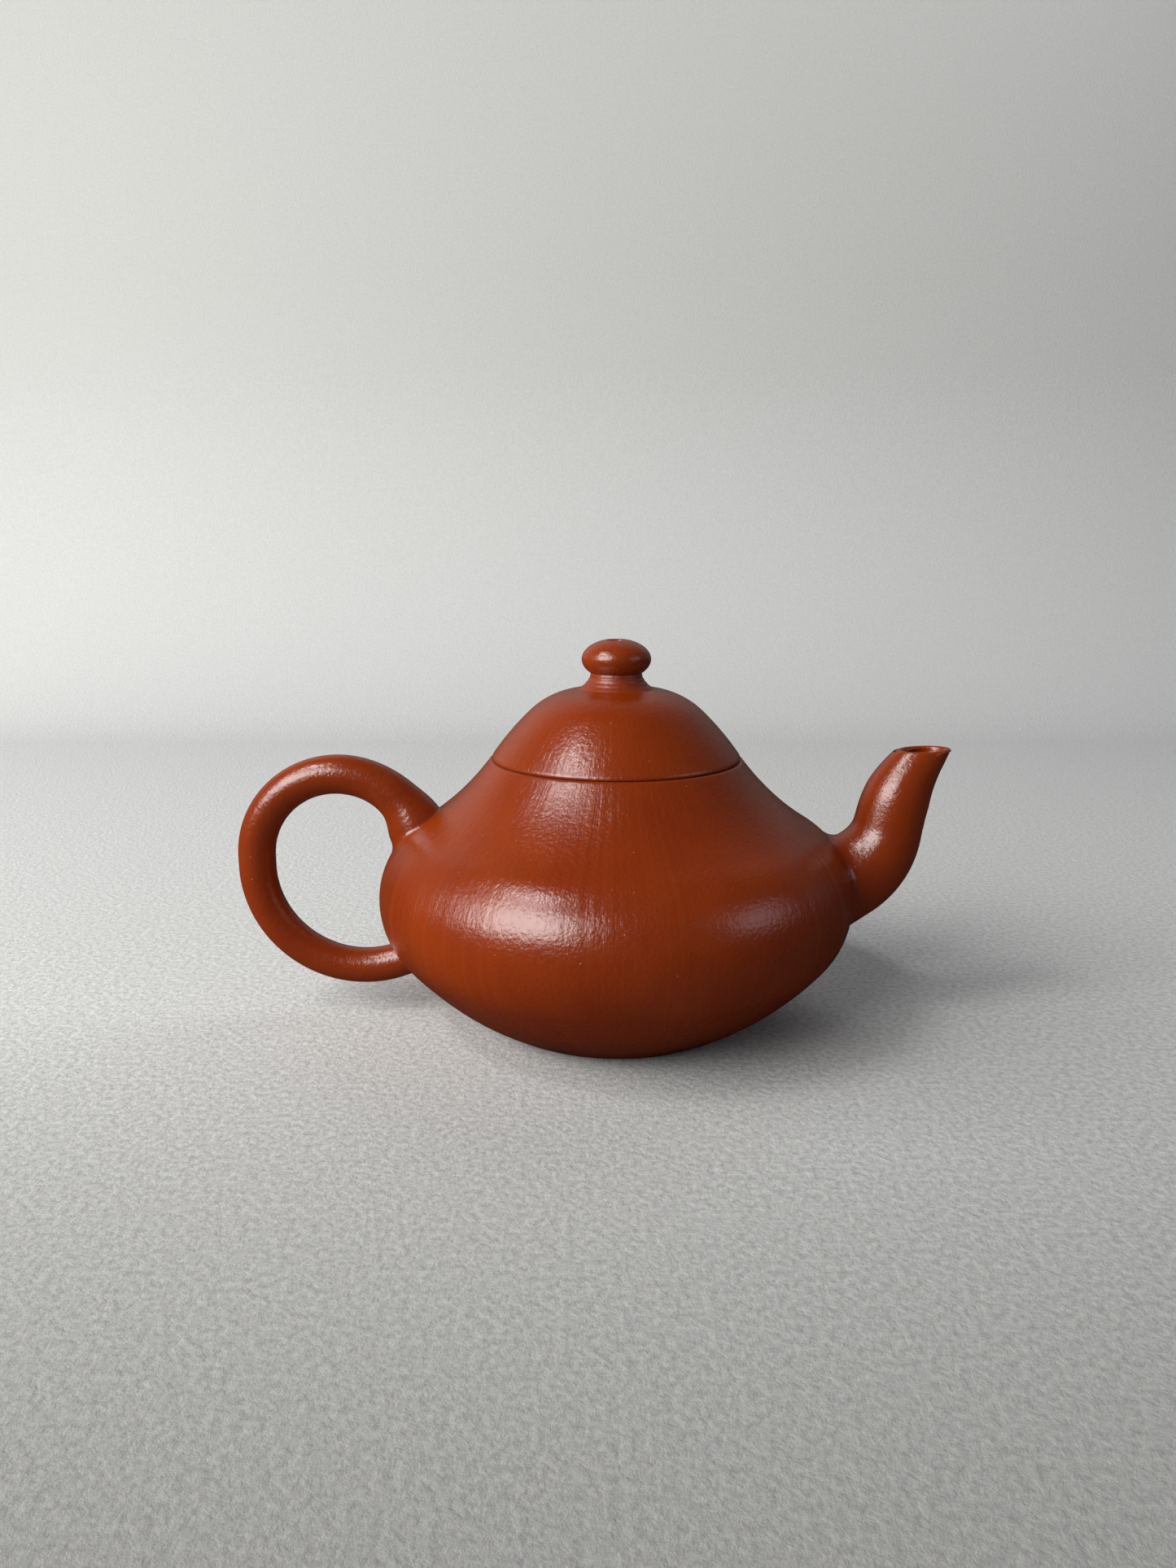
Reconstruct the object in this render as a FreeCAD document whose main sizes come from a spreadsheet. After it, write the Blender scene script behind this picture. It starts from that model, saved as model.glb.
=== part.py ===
import FreeCAD, Part
import math
import os
import Sketcher
from FreeCAD import Placement, Rotation, Vector

# A small pear-shaped clay teapot, in millimetres. The origin is on the pot's axis, on the surface that it
# stands on. +X points to the spout, the handle is at -X, and +Z is up.

# Driving dimensions
DIMENSIONS = {
    # Outer form of the pot: base edge, flank arc, belly arc, hollow shoulder arc, mouth
    "base_radius": 19.7,
    "flank_arc": 50.0,
    "belly_radius": 37.9,
    "belly_height": 20.5,
    "belly_arc": 13.1,
    "shoulder_arc": 44.0,
    "mouth_radius": 20.0,
    "mouth_height": 42.5,
    # Clay thicknesses, the dished underside and the ledge inside the mouth
    "wall": 2.6,
    "base_thickness": 3.0,
    "dish_radius": 15.5,
    "dish_depth": 0.8,
    "rim_width": 4.0,
    "ring_depth": 3.2,
    # Lid: level crown, crown arc and the long arc down to its edge, with the flange under it
    "crown_rise": 11.05,
    "crown_flat": 4.8,
    "crown_arc": 12.9,
    "lid_arc": 45.9,
    "lid_wall": 2.6,
    "flange_clearance": 0.3,
    "flange_wall": 2.2,
    "flange_depth": 7.0,
    # Knob: a flattened bead on a flared neck, with the vent hole down through both
    "neck_foot_radius": 5.8,
    "neck_foot_edge": 0.3,
    "neck_waist_radius": 4.0,
    "neck_height": 2.45,
    "knob_radius": 5.45,
    "knob_half_height": 3.15,
    "vent_radius": 1.0,
    "vent_mouth_radius": 1.4,
    "vent_mouth_depth": 1.2,
    # Spout: centre line of a run, an upward bend, an upright run and an outward bend
    "spout_root_depth": 4.9,
    "spout_root_rise": 0.1,
    "spout_root_angle": 26.4,
    "spout_root_run": 5.15,
    "spout_lower_arc": 11.6,
    "spout_upright_angle": 78.5,
    "spout_upright_run": 2.1,
    "spout_upper_arc": 21.8,
    "spout_mouth_angle": 50.3,
    "spout_tip_run": 5.0,
    "spout_root_radius": 7.7,
    "spout_elbow_radius": 6.95,
    "spout_waist_radius": 5.3,
    "spout_throat_radius": 5.25,
    "spout_mouth_radius": 3.8,
    "spout_tip_radius": 2.7,
    "spout_wall": 1.8,
    "spout_lip": 0.8,
    "spout_mouth_height": 43.85,
    "spout_mouth_tilt": 2.5,
    # Pierced dome behind the spout and the hole in the wall that it covers
    "spout_hole_radius": 5.0,
    "strainer_radius": 7.2,
    "strainer_wall": 1.6,
    "strainer_hole_radius": 0.75,
    "strainer_hole_spacing": 24.0,
    # Handle: centre line of an upper arc, a short straight grip and a lower arc
    "handle_standoff": 20.35,
    "handle_root_depth": 6.6,
    "handle_tail_depth": 13.65,
    "handle_rise": 5.8,
    "handle_grip_run": 1.65,
    "handle_tenon_radius": 3.6,
    "handle_root_radius": 4.7,
    "handle_neck_radius": 3.5,
    "handle_top_radius": 3.15,
    "handle_grip_radius": 2.95,
    "handle_tail_radius": 2.85,
}

# Counts and angles that shape the handle and the strainer
HANDLE_TENON_ANGLE = -4
HANDLE_ROOT_ANGLE = 20
HANDLE_NECK_ANGLE = 45
HANDLE_TOP_ANGLE = 90
HANDLE_GRIP_ANGLE = 180
HANDLE_TAIL_ANGLE = 280
HANDLE_END_ANGLE = 325
STRAINER_RINGS = 2
HOLES_PER_RING = 6

# How far a hole's cutter runs past each side of the strainer, as a share of its thickness
HOLE_OVERRUN = 0.5

doc = FreeCAD.newDocument("Teapot")
sheet = doc.addObject("Spreadsheet::Sheet", "Dims")
for row, (name, value) in enumerate(DIMENSIONS.items(), start=1):
    sheet.set("A%d" % row, name)
    sheet.set("B%d" % row, str(value))
    sheet.setAlias("B%d" % row, name)
doc.recompute()


def dim(name):
    """Value of a driving dimension, read from the sheet."""
    return float(sheet.get(name))


# Small sketching vocabulary: points, lines, arcs and the sizes that hold them
START, END, CENTRE = 1, 2, 3
ORIGIN = (-1, START)
V_AXIS = -2


def new_body(name):
    return doc.addObject("PartDesign::Body", name)


def sketch_on(body, role, name):
    """A sketch on one of the body's own origin planes."""
    sketch = body.newObject("Sketcher::SketchObject", name)
    plane = [feature for feature in body.Origin.OriginFeatures if feature.Role == role][0]
    sketch.AttachmentSupport = [(plane, "")]
    sketch.MapMode = "FlatFace"
    return sketch


def point(x, z):
    return Vector(x, z, 0)


def add_line(sketch, start, end):
    return sketch.addGeometry(Part.LineSegment(start, end))


def add_arc(sketch, centre, start, end, construction=False):
    """Arc that runs anticlockwise from start to end."""
    first = math.atan2(start.y - centre.y, start.x - centre.x)
    last = math.atan2(end.y - centre.y, end.x - centre.x)
    circle = Part.Circle(centre, Vector(0, 0, 1), centre.distanceToPoint(start))
    return sketch.addGeometry(Part.ArcOfCircle(circle, first, last), construction)


def tie(sketch, kind, *where):
    sketch.addConstraint(Sketcher.Constraint(kind, *where))


def size(sketch, kind, where, start_value, expression):
    """A dimension that follows the sheet."""
    index = sketch.addConstraint(Sketcher.Constraint(kind, *where, start_value))
    sketch.setExpression("Constraints[%d]" % index, expression)


def place(sketch, geometry, end, at, x_expression, z_expression):
    """Hold one point of the sketch at two sizes from the origin."""
    size(sketch, "DistanceX", ORIGIN + (geometry, end), at.x, x_expression)
    size(sketch, "DistanceY", ORIGIN + (geometry, end), at.y, z_expression)


def chain(sketch, *pairs):
    """Join end points in turn: each pair is (geometry, end, geometry, end)."""
    for pair in pairs:
        tie(sketch, "Coincident", *pair)


def revolve(body, sketch, name):
    revolution = body.newObject("PartDesign::Revolution", name)
    revolution.Profile = sketch
    revolution.ReferenceAxis = (sketch, ["V_Axis"])
    revolution.Angle = 360
    return revolution


def circles_meet(centre, radius, other, other_radius, side):
    """Point at both distances from two centres, to the left (+1) or right (-1) of the line between them."""
    span = other - centre
    distance = span.Length
    along = (radius ** 2 - other_radius ** 2 + distance ** 2) / (2 * distance)
    across = math.sqrt(radius ** 2 - along ** 2)
    direction = span / distance
    normal = Vector(-direction.y, direction.x, 0)
    return centre + direction * along + normal * across * side


def towards(start, end, distance):
    """Point at a distance from start, in the direction of end."""
    return start + (end - start).normalize() * distance


# Solids of the document, bound to the sheet


def cylinder(name, radius, height, base_z="0"):
    solid = doc.addObject("Part::Cylinder", name)
    solid.setExpression("Radius", radius)
    solid.setExpression("Height", height)
    solid.setExpression("Placement.Base.z", base_z)
    return solid


def cut(name, base, tool):
    result = doc.addObject("Part::Cut", name)
    result.Base = base
    result.Tool = tool
    return result


def common(name, base, tool):
    result = doc.addObject("Part::Common", name)
    result.Base = base
    result.Tool = tool
    return result


def fuse(name, solids):
    result = doc.addObject("Part::MultiFuse", name)
    result.Shapes = solids
    return result


def round_section(body, name, x, z, turn, radius):
    """A round section of a loft: its centre in the middle plane, and the turn of its plane about Y."""
    sketch = sketch_on(body, "XY_Plane", name)
    sketch.AttachmentOffset = Placement(Vector(), Rotation(Vector(0, 1, 0), 1))
    sketch.setExpression("AttachmentOffset.Base.x", x)
    sketch.setExpression("AttachmentOffset.Base.z", z)
    sketch.setExpression("AttachmentOffset.Rotation.Angle", turn)
    circle = sketch.addGeometry(Part.Circle(Vector(), Vector(0, 0, 1), 1.0))
    tie(sketch, "Coincident", circle, CENTRE, *ORIGIN)
    size(sketch, "Radius", (circle,), 1.0, radius)
    return sketch


def loft(body, kind, name, sections):
    feature = body.newObject(kind, name)
    feature.Profile = sections[0]
    feature.Sections = sections[1:]
    return feature


# Outer form of the pot
base_edge = point(dim("base_radius"), 0)
mouth_edge = point(dim("mouth_radius"), dim("mouth_height"))
belly_centre = point(dim("belly_radius") - dim("belly_arc"), dim("belly_height"))
flank_centre = circles_meet(
    belly_centre, dim("flank_arc") - dim("belly_arc"), base_edge, dim("flank_arc"), -1)
shoulder_centre = circles_meet(
    belly_centre, dim("belly_arc") + dim("shoulder_arc"), mouth_edge, dim("shoulder_arc"), -1)
flank_to_belly = towards(flank_centre, belly_centre, dim("flank_arc"))
belly_to_shoulder = towards(belly_centre, shoulder_centre, dim("belly_arc"))


def pot_arcs(sketch, construction):
    """Flank, belly and shoulder arcs of the pot's outer line, held by the sheet."""
    flank = add_arc(sketch, flank_centre, base_edge, flank_to_belly, construction)
    belly = add_arc(sketch, belly_centre, flank_to_belly, belly_to_shoulder, construction)
    shoulder = add_arc(sketch, shoulder_centre, mouth_edge, belly_to_shoulder, construction)
    tie(sketch, "Tangent", flank, END, belly, START)
    tie(sketch, "Tangent", belly, END, shoulder, END)
    place(sketch, belly, CENTRE, belly_centre, "Dims.belly_radius - Dims.belly_arc", "Dims.belly_height")
    place(sketch, shoulder, START, mouth_edge, "Dims.mouth_radius", "Dims.mouth_height")
    place(sketch, flank, START, base_edge, "Dims.base_radius", "0")
    size(sketch, "Radius", (flank,), dim("flank_arc"), "Dims.flank_arc")
    size(sketch, "Radius", (belly,), dim("belly_arc"), "Dims.belly_arc")
    size(sketch, "Radius", (shoulder,), dim("shoulder_arc"), "Dims.shoulder_arc")
    return flank, belly, shoulder


pot_form = new_body("PotForm")
profile = sketch_on(pot_form, "XZ_Plane", "PotOutline")
flank, belly, shoulder = pot_arcs(profile, False)
floor = add_line(profile, point(0, 0), base_edge)
top = add_line(profile, mouth_edge, point(0, dim("mouth_height")))
axis = add_line(profile, point(0, dim("mouth_height")), point(0, 0))
chain(profile, (floor, END, flank, START), (shoulder, START, top, START), (top, END, axis, START),
      (axis, END, floor, START))
tie(profile, "Coincident", floor, START, *ORIGIN)
tie(profile, "Horizontal", top)
tie(profile, "Vertical", axis)
revolve(pot_form, profile, "PotSolid")

# Hollow inside the wall, parallel to the outer form and closed by the base and the mouth
inner_floor_z = dim("base_thickness")
inner_flank_arc = dim("flank_arc") - dim("wall")
inner_belly_arc = dim("belly_arc") - dim("wall")
inner_shoulder_arc = dim("shoulder_arc") + dim("wall")


def on_circle_at(centre, radius, z, side):
    """Point of a circle at a height, on its right (+1) or left (-1) side."""
    return point(centre.x + side * math.sqrt(radius ** 2 - (z - centre.y) ** 2), z)


inner_base = on_circle_at(flank_centre, inner_flank_arc, inner_floor_z, 1)
inner_mouth = on_circle_at(shoulder_centre, inner_shoulder_arc, dim("mouth_height"), -1)
inner_flank_to_belly = towards(flank_centre, belly_centre, inner_flank_arc)
inner_belly_to_shoulder = towards(belly_centre, shoulder_centre, inner_belly_arc)

pot_hollow = new_body("PotHollow")
profile = sketch_on(pot_hollow, "XZ_Plane", "HollowOutline")
flank, belly, shoulder = pot_arcs(profile, True)
inner_flank = add_arc(profile, flank_centre, inner_base, inner_flank_to_belly)
inner_belly = add_arc(profile, belly_centre, inner_flank_to_belly, inner_belly_to_shoulder)
inner_shoulder = add_arc(profile, shoulder_centre, inner_mouth, inner_belly_to_shoulder)
floor = add_line(profile, point(0, inner_floor_z), inner_base)
top = add_line(profile, inner_mouth, point(0, dim("mouth_height")))
axis = add_line(profile, point(0, dim("mouth_height")), point(0, inner_floor_z))
chain(profile, (inner_flank, CENTRE, flank, CENTRE), (inner_belly, CENTRE, belly, CENTRE),
      (inner_shoulder, CENTRE, shoulder, CENTRE))
tie(profile, "Tangent", inner_flank, END, inner_belly, START)
tie(profile, "Tangent", inner_belly, END, inner_shoulder, END)
size(profile, "Radius", (inner_belly,), inner_belly_arc, "Dims.belly_arc - Dims.wall")
chain(profile, (floor, END, inner_flank, START), (inner_shoulder, START, top, START),
      (top, END, axis, START), (axis, END, floor, START))
tie(profile, "Horizontal", floor)
tie(profile, "Horizontal", top)
tie(profile, "PointOnObject", axis, START, V_AXIS)
tie(profile, "Vertical", axis)
size(profile, "DistanceY", ORIGIN + (floor, START), inner_floor_z, "Dims.base_thickness")
size(profile, "DistanceY", ORIGIN + (top, END), dim("mouth_height"), "Dims.mouth_height")
revolve(pot_hollow, profile, "HollowSolid")

# Base disc: the lowest slice of the form, dished underneath so that it rests on a flat ring
base_slab = cylinder("BaseSlab", "Dims.belly_radius", "Dims.base_thickness")
base_blank = common("BaseBlank", pot_form, base_slab)
dish = doc.addObject("Part::Sphere", "Dish")
DISH_SPHERE = "(Dims.dish_radius ^ 2 + Dims.dish_depth ^ 2) / (2 * Dims.dish_depth)"
dish.setExpression("Radius", DISH_SPHERE)
dish.setExpression("Placement.Base.z", "Dims.dish_depth - " + DISH_SPHERE)
base_disc = cut("BaseDisc", base_blank, dish)

# Centre line of the spout, as sizes in the middle plane
ROOT_X = "(Dims.belly_radius - Dims.spout_root_depth)"
ROOT_Z = "(Dims.belly_height + Dims.spout_root_rise)"
ELBOW_X = "(%s + Dims.spout_root_run * cos(Dims.spout_root_angle))" % ROOT_X
ELBOW_Z = "(%s + Dims.spout_root_run * sin(Dims.spout_root_angle))" % ROOT_Z
LOWER_CENTRE_X = "(%s - Dims.spout_lower_arc * sin(Dims.spout_root_angle))" % ELBOW_X
LOWER_CENTRE_Z = "(%s + Dims.spout_lower_arc * cos(Dims.spout_root_angle))" % ELBOW_Z


def on_lower_bend(heading):
    """Point of the upward bend where the centre line has a heading, in degrees above level."""
    return ("%s + Dims.spout_lower_arc * sin(%s)" % (LOWER_CENTRE_X, heading),
            "%s - Dims.spout_lower_arc * cos(%s)" % (LOWER_CENTRE_Z, heading))


UPRIGHT_X, UPRIGHT_Z = on_lower_bend("Dims.spout_upright_angle")
THROAT_X = "(%s + Dims.spout_upright_run * cos(Dims.spout_upright_angle))" % UPRIGHT_X
THROAT_Z = "(%s + Dims.spout_upright_run * sin(Dims.spout_upright_angle))" % UPRIGHT_Z
UPPER_CENTRE_X = "(%s + Dims.spout_upper_arc * sin(Dims.spout_upright_angle))" % THROAT_X
UPPER_CENTRE_Z = "(%s - Dims.spout_upper_arc * cos(Dims.spout_upright_angle))" % THROAT_Z


def on_upper_bend(heading):
    """Point of the outward bend where the centre line has a heading, in degrees above level."""
    return ("%s - Dims.spout_upper_arc * sin(%s)" % (UPPER_CENTRE_X, heading),
            "%s + Dims.spout_upper_arc * cos(%s)" % (UPPER_CENTRE_Z, heading))


def between(first, last, share):
    return "(%s + (%s - %s) * %g)" % (first, last, first, share)


ROOT_ANGLE = "Dims.spout_root_angle"
UPRIGHT_ANGLE = "Dims.spout_upright_angle"
MOUTH_ANGLE = "Dims.spout_mouth_angle"
BEND_ANGLE = between(ROOT_ANGLE, UPRIGHT_ANGLE, 0.5)
BULGE_ANGLE = between(UPRIGHT_ANGLE, MOUTH_ANGLE, 1 / 3)
TAPER_ANGLE = between(UPRIGHT_ANGLE, MOUTH_ANGLE, 2 / 3)
MOUTH_X, MOUTH_Z = on_upper_bend(MOUTH_ANGLE)
TIP_X = "%s + Dims.spout_tip_run * cos(Dims.spout_mouth_angle)" % MOUTH_X
TIP_Z = "%s + Dims.spout_tip_run * sin(Dims.spout_mouth_angle)" % MOUTH_Z

# Sections of the spout: place, heading, outer radius and clay thickness. The tip runs on past the mouth.
SPOUT_SECTIONS = [
    ("Root", (ROOT_X, ROOT_Z), ROOT_ANGLE, "Dims.spout_root_radius", "Dims.spout_wall"),
    ("Elbow", (ELBOW_X, ELBOW_Z), ROOT_ANGLE, "Dims.spout_elbow_radius", "Dims.spout_wall"),
    ("Bend", on_lower_bend(BEND_ANGLE), BEND_ANGLE,
     between("Dims.spout_elbow_radius", "Dims.spout_waist_radius", 0.5), "Dims.spout_wall"),
    ("Waist", (UPRIGHT_X, UPRIGHT_Z), UPRIGHT_ANGLE, "Dims.spout_waist_radius", "Dims.spout_wall"),
    ("Upright", (THROAT_X, THROAT_Z), UPRIGHT_ANGLE, "Dims.spout_waist_radius", "Dims.spout_wall"),
    ("Throat", on_upper_bend(BULGE_ANGLE), BULGE_ANGLE, "Dims.spout_throat_radius", "Dims.spout_wall"),
    ("Taper", on_upper_bend(TAPER_ANGLE), TAPER_ANGLE,
     between("Dims.spout_throat_radius", "Dims.spout_mouth_radius", 0.5),
     between("Dims.spout_wall", "Dims.spout_lip", 0.5)),
    ("Mouth", (MOUTH_X, MOUTH_Z), MOUTH_ANGLE, "Dims.spout_mouth_radius", "Dims.spout_lip"),
    ("Tip", (TIP_X, TIP_Z), MOUTH_ANGLE, "Dims.spout_tip_radius", "Dims.spout_lip"),
]

# Spout: a lofted tube with its bore, cut level at the mouth and shaped to the wall that it is luted to
spout_tube = new_body("SpoutTube")
outside = []
inside = []
for name, (x, z), heading, radius, clay in SPOUT_SECTIONS:
    turn = "90 - " + heading
    outside.append(round_section(spout_tube, "Spout" + name, x, z, turn, radius))
    inside.append(round_section(spout_tube, "Bore" + name, x, z, turn, radius + " - " + clay))
loft(spout_tube, "PartDesign::AdditiveLoft", "SpoutOutside", outside)
loft(spout_tube, "PartDesign::SubtractiveLoft", "SpoutBore", inside)
MOUTH_CUTTER_SIDE = "(6 * Dims.spout_root_radius)"
mouth_cutter = doc.addObject("Part::Box", "SpoutMouthCutter")
for side in ("Length", "Width", "Height"):
    mouth_cutter.setExpression(side, MOUTH_CUTTER_SIDE)
mouth_cutter.Placement = Placement(Vector(), Rotation(Vector(0, -1, 0), 1))
mouth_cutter.setExpression("Placement.Base.x", "Dims.belly_radius")
mouth_cutter.setExpression("Placement.Base.y", "-%s / 2" % MOUTH_CUTTER_SIDE)
mouth_cutter.setExpression(
    "Placement.Base.z",
    "Dims.spout_mouth_height - (%s - Dims.belly_radius) * tan(Dims.spout_mouth_tilt)" % MOUTH_X)
mouth_cutter.setExpression("Placement.Rotation.Angle", "Dims.spout_mouth_tilt")
spout_open = cut("SpoutOpen", spout_tube, mouth_cutter)
spout = cut("Spout", spout_open, pot_form)

# Place where the spout's centre line meets the inside of the wall
STRAINER_X = "(Dims.belly_radius - Dims.wall)"
STRAINER_Z = "(%s + (%s - %s) * tan(Dims.spout_root_angle))" % (ROOT_Z, STRAINER_X, ROOT_X)

# Wall: the form less its hollow, the base's slice and the hole behind the spout
spout_hole = cylinder("SpoutHole", "Dims.spout_hole_radius", "Dims.wall + 2 * Dims.spout_hole_radius")
spout_hole.Placement = Placement(Vector(), Rotation(Vector(0, 1, 0), 1))
spout_hole.setExpression(
    "Placement.Base.x", "%s - Dims.spout_hole_radius * cos(Dims.spout_root_angle)" % STRAINER_X)
spout_hole.setExpression(
    "Placement.Base.z", "%s - Dims.spout_hole_radius * sin(Dims.spout_root_angle)" % STRAINER_Z)
spout_hole.setExpression("Placement.Rotation.Angle", "90 - Dims.spout_root_angle")
wall_cutter = fuse("WallCutter", [pot_hollow, base_slab, spout_hole])
body_wall = cut("BodyWall", pot_form, wall_cutter)

# Mouth ring: luted inside the top of the wall, flush with it, and open in the middle for the flange
MOUTH_BORE = "(Dims.mouth_radius - Dims.rim_width)"
RING_FOOT = "Dims.mouth_height - Dims.ring_depth"
ring_blank = cylinder("RingBlank", "Dims.belly_radius", "Dims.ring_depth", RING_FOOT)
ring_bore = cylinder("RingBore", MOUTH_BORE, "Dims.ring_depth", RING_FOOT)
ring_solid = cut("RingSolid", ring_blank, ring_bore)
mouth_ring = common("MouthRing", ring_solid, pot_hollow)

# Strainer: a domed shell over the hole, seated on the inside of the wall and pierced along its radii
dome_outside = doc.addObject("Part::Sphere", "DomeOutside")
dome_outside.setExpression("Radius", "Dims.strainer_radius")
dome_inside = doc.addObject("Part::Sphere", "DomeInside")
dome_inside.setExpression("Radius", "Dims.strainer_radius - Dims.strainer_wall")
for dome in (dome_outside, dome_inside):
    dome.setExpression("Placement.Base.x", STRAINER_X)
    dome.setExpression("Placement.Base.z", STRAINER_Z)
dome_shell = cut("DomeShell", dome_outside, dome_inside)
dome_cap = common("DomeCap", dome_shell, pot_hollow)
HOLE_START = "(Dims.strainer_radius - %g * Dims.strainer_wall)" % (1 + HOLE_OVERRUN)
HOLE_LENGTH = "%g * Dims.strainer_wall" % (1 + 2 * HOLE_OVERRUN)
strainer_holes = []
for ring in range(STRAINER_RINGS + 1):
    count = max(1, HOLES_PER_RING * ring)
    for step in range(count):
        hole = cylinder("StrainerHole", "Dims.strainer_hole_radius", HOLE_LENGTH)
        around = 360 * step / count
        turn_axis = Vector(0, math.cos(math.radians(around)), math.sin(math.radians(around)))
        lean = "(%d * Dims.strainer_hole_spacing)" % ring
        direction = Rotation(turn_axis, ring * dim("strainer_hole_spacing")).multVec(Vector(-1, 0, 0))
        reach = dim("strainer_radius") - (1 + HOLE_OVERRUN) * dim("strainer_wall")
        hole.Placement = Placement(direction * reach, Rotation(Vector(0, 0, 1), direction))
        hole.setExpression("Placement.Base.x", "%s - %s * cos(%s)" % (STRAINER_X, HOLE_START, lean))
        hole.setExpression("Placement.Base.y", "%s * sin(%s) * %g" % (HOLE_START, lean, -turn_axis.z))
        hole.setExpression("Placement.Base.z", "%s + %s * sin(%s) * %g" % (
            STRAINER_Z, HOLE_START, lean, turn_axis.y))
        strainer_holes.append(hole)
strainer = cut("Strainer", dome_cap, fuse("StrainerHoles", strainer_holes))

# Handle: round sections along the upper arc, the grip and the lower arc, ending inside the wall
UPPER_ARC = "((Dims.handle_standoff + Dims.handle_root_depth) / 2)"
LOWER_ARC = "((Dims.handle_standoff + Dims.handle_tail_depth) / 2)"
OUTERMOST = "(Dims.belly_radius + Dims.handle_standoff)"
UPPER_HEIGHT = "(Dims.belly_height + Dims.handle_rise)"
LOWER_HEIGHT = "(%s - Dims.handle_grip_run)" % UPPER_HEIGHT
HANDLE_RADII = [
    (HANDLE_TENON_ANGLE, "Dims.handle_tenon_radius"),
    (HANDLE_ROOT_ANGLE, "Dims.handle_root_radius"),
    (HANDLE_NECK_ANGLE, "Dims.handle_neck_radius"),
    (HANDLE_TOP_ANGLE, "Dims.handle_top_radius"),
    (HANDLE_GRIP_ANGLE, "Dims.handle_grip_radius"),
    (HANDLE_TAIL_ANGLE, "Dims.handle_tail_radius"),
    (HANDLE_END_ANGLE, "Dims.handle_tail_radius"),
]
# Steps from each named radius to the next
HANDLE_STEPS = [2, 2, 2, 3, 4, 2]


def handle_stations(first, last):
    """Angles of the handle's sections from one named angle of its ring to another."""
    angles = []
    for (low, _), (high, _), steps in zip(HANDLE_RADII, HANDLE_RADII[1:], HANDLE_STEPS):
        if first <= low and high <= last:
            angles += [low + (high - low) * step / steps for step in range(steps)]
    return angles + [last]


def handle_radius(angle):
    """Radius of the handle at an angle of its ring, between the named radii on either side."""
    for (low, low_radius), (high, high_radius) in zip(HANDLE_RADII, HANDLE_RADII[1:]):
        if angle <= high:
            return between(low_radius, high_radius, (angle - low) / (high - low))


handle_rod = new_body("HandleRod")
sections = []
for name, arc, height, first, last in (
        ("Upper", UPPER_ARC, UPPER_HEIGHT, HANDLE_TENON_ANGLE, HANDLE_GRIP_ANGLE),
        ("Lower", LOWER_ARC, LOWER_HEIGHT, HANDLE_GRIP_ANGLE, HANDLE_END_ANGLE)):
    for angle in handle_stations(first, last):
        x = "%s * (1 + cos(%g)) - %s" % (arc, angle, OUTERMOST)
        z = "%s + %s * sin(%g)" % (height, arc, angle)
        sections.append(round_section(
            handle_rod, "Handle" + name, x, z, "%g" % -angle, handle_radius(angle)))
loft(handle_rod, "PartDesign::AdditiveLoft", "HandleLoft", sections)
handle = cut("Handle", handle_rod, pot_form)

# Outer form of the lid: its edge carries on from the mouth, and its crown is level round the knob
crown_z = dim("mouth_height") + dim("crown_rise")
crown_centre = point(dim("crown_flat"), crown_z - dim("crown_arc"))
crown_edge = point(dim("crown_flat"), crown_z)
lid_centre = circles_meet(
    crown_centre, dim("lid_arc") - dim("crown_arc"), mouth_edge, dim("lid_arc"), -1)
lid_to_crown = towards(lid_centre, crown_centre, dim("lid_arc"))
CROWN_Z = "(Dims.mouth_height + Dims.crown_rise)"


def lid_arcs(sketch, construction):
    """Edge and crown arcs of the lid's outer line, held by the sheet."""
    edge = add_arc(sketch, lid_centre, mouth_edge, lid_to_crown, construction)
    crown = add_arc(sketch, crown_centre, lid_to_crown, crown_edge, construction)
    tie(sketch, "Tangent", edge, END, crown, START)
    place(sketch, edge, START, mouth_edge, "Dims.mouth_radius", "Dims.mouth_height")
    place(sketch, crown, CENTRE, crown_centre, "Dims.crown_flat", CROWN_Z + " - Dims.crown_arc")
    tie(sketch, "Vertical", crown, CENTRE, crown, END)
    size(sketch, "Radius", (edge,), dim("lid_arc"), "Dims.lid_arc")
    size(sketch, "Radius", (crown,), dim("crown_arc"), "Dims.crown_arc")
    return edge, crown


def close_to_axis(sketch, low_arc, high_arc, low_start, high_end):
    """Close a dome's arcs with level lines to the axis."""
    foot = add_line(sketch, point(0, low_start.y), low_start)
    top = add_line(sketch, high_end, point(0, high_end.y))
    axis = add_line(sketch, point(0, high_end.y), point(0, low_start.y))
    chain(sketch, (foot, END, low_arc, START), (high_arc, END, top, START), (top, END, axis, START),
          (axis, END, foot, START))
    tie(sketch, "Horizontal", foot)
    tie(sketch, "Horizontal", top)
    tie(sketch, "PointOnObject", axis, START, V_AXIS)
    tie(sketch, "Vertical", axis)
    return foot


lid_form = new_body("LidForm")
profile = sketch_on(lid_form, "XZ_Plane", "LidOutline")
edge, crown = lid_arcs(profile, False)
close_to_axis(profile, edge, crown, mouth_edge, crown_edge)
revolve(lid_form, profile, "LidSolid")

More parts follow.
